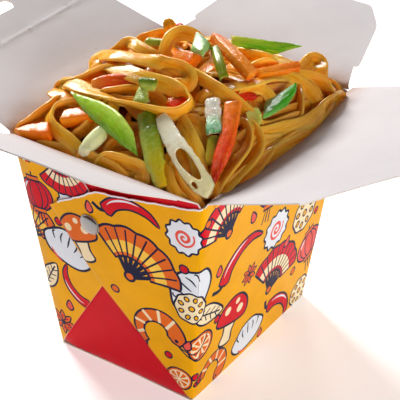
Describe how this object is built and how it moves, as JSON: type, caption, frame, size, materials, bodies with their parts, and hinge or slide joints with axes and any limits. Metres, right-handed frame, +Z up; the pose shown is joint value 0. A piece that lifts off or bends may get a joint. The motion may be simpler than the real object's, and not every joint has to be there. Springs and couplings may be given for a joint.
{
  "type": "noodle takeaway box",
  "caption": "Folded card takeaway pail with riveted ends and four open lid flaps, heaped with flat noodles and cut vegetables.",
  "frame": {"origin": "on the floor at the centre of the pail's base", "axes": "+Z up; the riveted ends face -Y and +Y, the plain sides face -X and +X; the slotted lid flap is at -X and the tongued one at +X"},
  "size_m": [0.2265, 0.1934, 0.1329],
  "materials": {
    "printed_card": "coated board, yellow print with red ends, semi-gloss",
    "white_card": "white uncoated inside of the board, matt",
    "rivet_metal": "domed nickel-plated steel, polished",
    "noodle": "cooked flat noodle in glossy brown sauce",
    "carrot": "glazed cooked carrot",
    "red_pepper": "glazed cooked red pepper",
    "green_pepper": "glazed cooked green pepper",
    "spring_onion": "glazed spring onion leaf",
    "pale_onion": "glazed white onion and leek"
  },
  "bodies": {
    "box": {"card_box": "printed_card", "rivet_front": "rivet_metal", "rivet_back": "rivet_metal", "noodles": "noodle", "carrot_1": "carrot", "carrot_2": "carrot", "carrot_3": "carrot", "carrot_4": "carrot", "carrot_5": "carrot", "red_pepper_1": "red_pepper", "red_pepper_2": "red_pepper", "red_pepper_3": "red_pepper", "red_pepper_4": "red_pepper", "red_pepper_5": "red_pepper", "green_pepper_1": "green_pepper", "green_pepper_2": "green_pepper", "spring_onion_1": "spring_onion", "spring_onion_2": "spring_onion", "spring_onion_3": "spring_onion", "spring_onion_4": "spring_onion", "spring_onion_5": "spring_onion", "spring_onion_6": "spring_onion", "spring_onion_7": "spring_onion", "onion_1": "pale_onion", "onion_2": "pale_onion", "onion_3": "pale_onion", "onion_4": "pale_onion", "onion_5": "pale_onion"},
    "flap_front": {"flap_front": "white_card"},
    "flap_back": {"flap_back": "white_card"},
    "flap_right": {"flap_right": "white_card"},
    "flap_left": {"flap_left": "white_card"}
  },
  "joints": [
    {"name": "flap_front_crease", "type": "hinge", "parent": "box", "child": "flap_front", "pos_m": [0, -0.0526, 0.1009], "axis": [-1, 0, 0], "range_deg": [-91, 59]},
    {"name": "flap_back_crease", "type": "hinge", "parent": "box", "child": "flap_back", "pos_m": [0, 0.0526, 0.1009], "axis": [1, 0, 0], "range_deg": [-75, 75]},
    {"name": "flap_right_crease", "type": "hinge", "parent": "box", "child": "flap_right", "pos_m": [0.0441, 0, 0.1009], "axis": [0, -1, 0], "range_deg": [-79, 71]},
    {"name": "flap_left_crease", "type": "hinge", "parent": "box", "child": "flap_left", "pos_m": [-0.0441, 0, 0.1009], "axis": [0, 1, 0], "range_deg": [-76, 74]}
  ]
}
